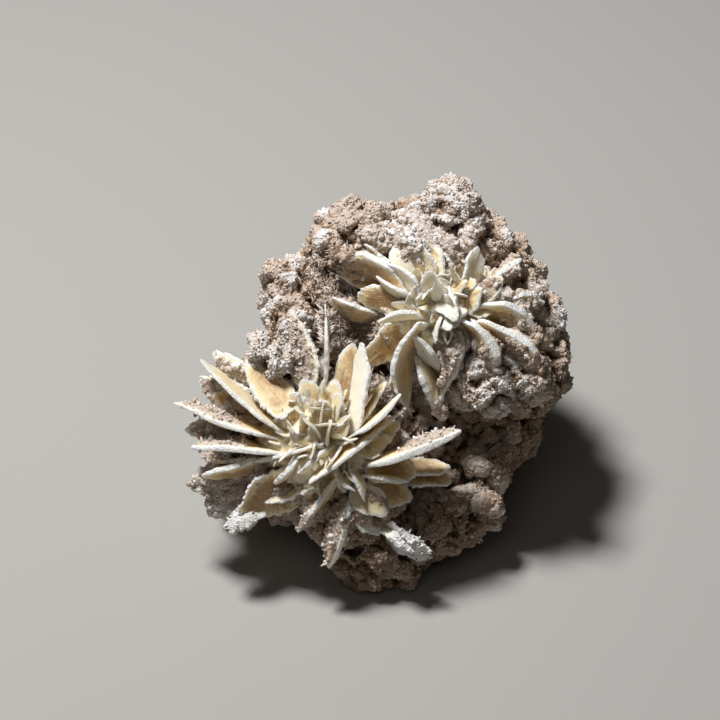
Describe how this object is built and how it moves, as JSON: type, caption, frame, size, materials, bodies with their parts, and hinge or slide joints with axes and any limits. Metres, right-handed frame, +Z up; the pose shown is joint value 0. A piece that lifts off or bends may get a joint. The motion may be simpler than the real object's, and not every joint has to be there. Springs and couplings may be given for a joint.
{
  "type": "desert rose selenite",
  "caption": "Natural cluster of two gypsum rosettes, bladed crystals grown together on a sand-crusted mass, resting on a flat underside.",
  "frame": {"origin": "in the middle of the flat that the cluster rests on, under its centre of mass", "axes": "+Z up, -Y towards the side that the rosettes face, +X to the right as seen from there"},
  "size_m": [0.0797, 0.0735, 0.0645],
  "materials": {
    "sandy_gypsum": "matte sand crust with frosted, honey-coloured blades"
  },
  "bodies": {
    "root": {"desert_rose_cluster": "sandy_gypsum"}
  },
  "joints": []
}
